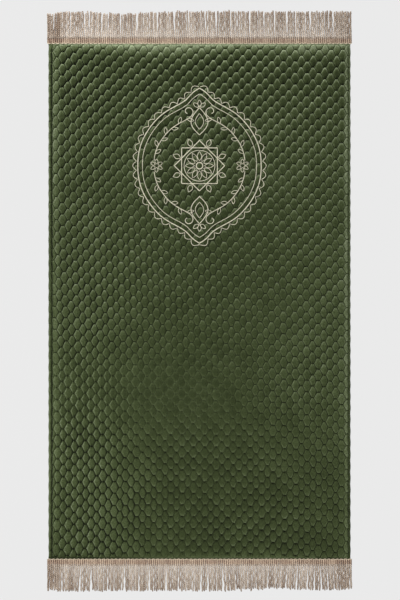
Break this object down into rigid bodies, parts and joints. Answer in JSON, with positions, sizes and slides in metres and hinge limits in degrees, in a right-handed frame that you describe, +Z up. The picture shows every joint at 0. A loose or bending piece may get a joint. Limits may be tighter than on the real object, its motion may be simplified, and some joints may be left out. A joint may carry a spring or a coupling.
{
  "type": "prayer rug",
  "caption": "Rectangular prayer rug of padded velvet quilted in small rounded cells, flat hems along its sides and a corded fringe trim across each end.",
  "frame": {"origin": "middle of the rug's footprint, on its underside", "axes": "+Y along the rug towards the end with the stitched ornament, +X to the right of it, +Z up out of the velvet face"},
  "size_m": [0.653, 1.244, 0.0089],
  "materials": {
    "green_velvet": "dark green pile velvet, matt with a soft sheen",
    "sand_cord": "sand coloured twisted cord, matt"
  },
  "bodies": {
    "root": {"quilted_panel": "green_velvet", "fringe_trim_top": "sand_cord", "fringe_trim_bottom": "sand_cord"}
  },
  "joints": []
}
